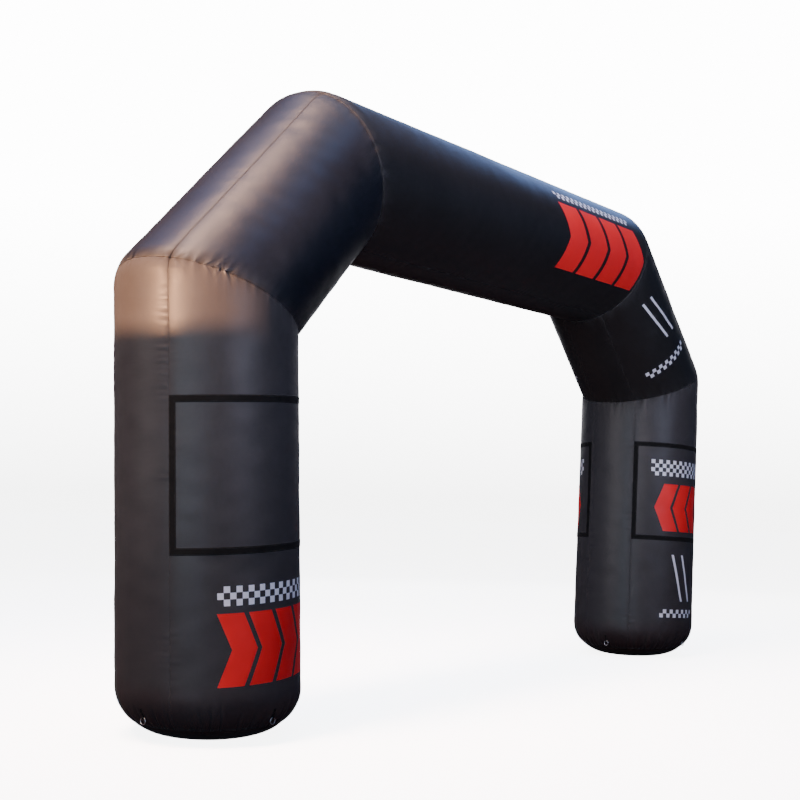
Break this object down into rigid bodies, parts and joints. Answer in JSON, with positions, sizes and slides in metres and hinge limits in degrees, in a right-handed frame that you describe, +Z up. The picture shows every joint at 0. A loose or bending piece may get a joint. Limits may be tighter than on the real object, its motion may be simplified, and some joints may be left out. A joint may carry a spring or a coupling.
{
  "type": "inflatable arch",
  "caption": "Inflatable race arch of fat air-filled cloth tubes: a level beam on slanted shoulders and two round legs, with banner frames and tether rings.",
  "frame": {"origin": "on the floor midway between the two feet, under the middle of the beam", "axes": "+X along the arch from the left leg to the right leg, -Y out of the front, +Z up"},
  "size_m": [7.5544, 1.2038, 4.465],
  "materials": {
    "charcoal_cloth": "satin coated cloth, charcoal",
    "black_cloth": "satin coated cloth, near black",
    "base_cloth": "heavy matt coated cloth, black",
    "frame_webbing": "matt black tape",
    "tab_webbing": "matt black webbing",
    "ring_steel": "plain steel wire"
  },
  "bodies": {
    "root": {"left_leg": "charcoal_cloth", "right_leg": "charcoal_cloth", "left_base": "base_cloth", "right_base": "base_cloth", "left_slant": "black_cloth", "right_slant": "black_cloth", "top_beam": "black_cloth", "left_front_frame": "frame_webbing", "left_back_frame": "frame_webbing", "right_front_frame": "frame_webbing", "right_back_frame": "frame_webbing", "left_outer_tab": "tab_webbing", "left_outer_ring": "ring_steel", "left_front_tab": "tab_webbing", "left_front_ring": "ring_steel", "left_inner_tab": "tab_webbing", "left_inner_ring": "ring_steel", "left_back_tab": "tab_webbing", "left_back_ring": "ring_steel", "right_outer_tab": "tab_webbing", "right_outer_ring": "ring_steel", "right_front_tab": "tab_webbing", "right_front_ring": "ring_steel", "right_inner_tab": "tab_webbing", "right_inner_ring": "ring_steel", "right_back_tab": "tab_webbing", "right_back_ring": "ring_steel"}
  },
  "joints": []
}
